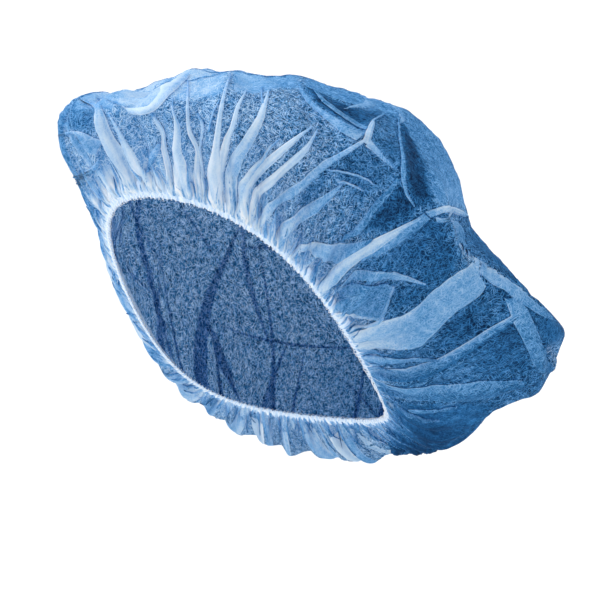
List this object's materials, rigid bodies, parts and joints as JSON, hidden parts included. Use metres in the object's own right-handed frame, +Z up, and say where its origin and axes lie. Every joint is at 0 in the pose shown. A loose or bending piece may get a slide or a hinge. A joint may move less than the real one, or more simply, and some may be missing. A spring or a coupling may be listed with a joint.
{
  "type": "disposable hairnet",
  "caption": "Worn disposable bouffant hairnet: a puffed, crumpled cap of light blue nonwoven gathered onto a narrow pale elastic band, hollow and open below for a head.",
  "frame": {"origin": "centre of the head opening, midway between the ear points and between the forehead and nape points of the band, at the height where the forehead rise and nape drop are measured from", "axes": "+Z up as worn, -Y the way the wearer faces, +X towards the wearer's left"},
  "size_m": [0.3225, 0.325, 0.2551],
  "materials": {
    "nonwoven": "thin translucent spunbond polypropylene, matte, light blue, paler where it is folded",
    "elastic_hem": "gathered folded hem over elastic, matte, pale blue white"
  },
  "bodies": {
    "root": {"crown_front": "nonwoven", "crown_left": "nonwoven", "crown_back": "nonwoven", "crown_right": "nonwoven", "crown_top": "nonwoven", "elastic_band": "elastic_hem"}
  },
  "joints": []
}
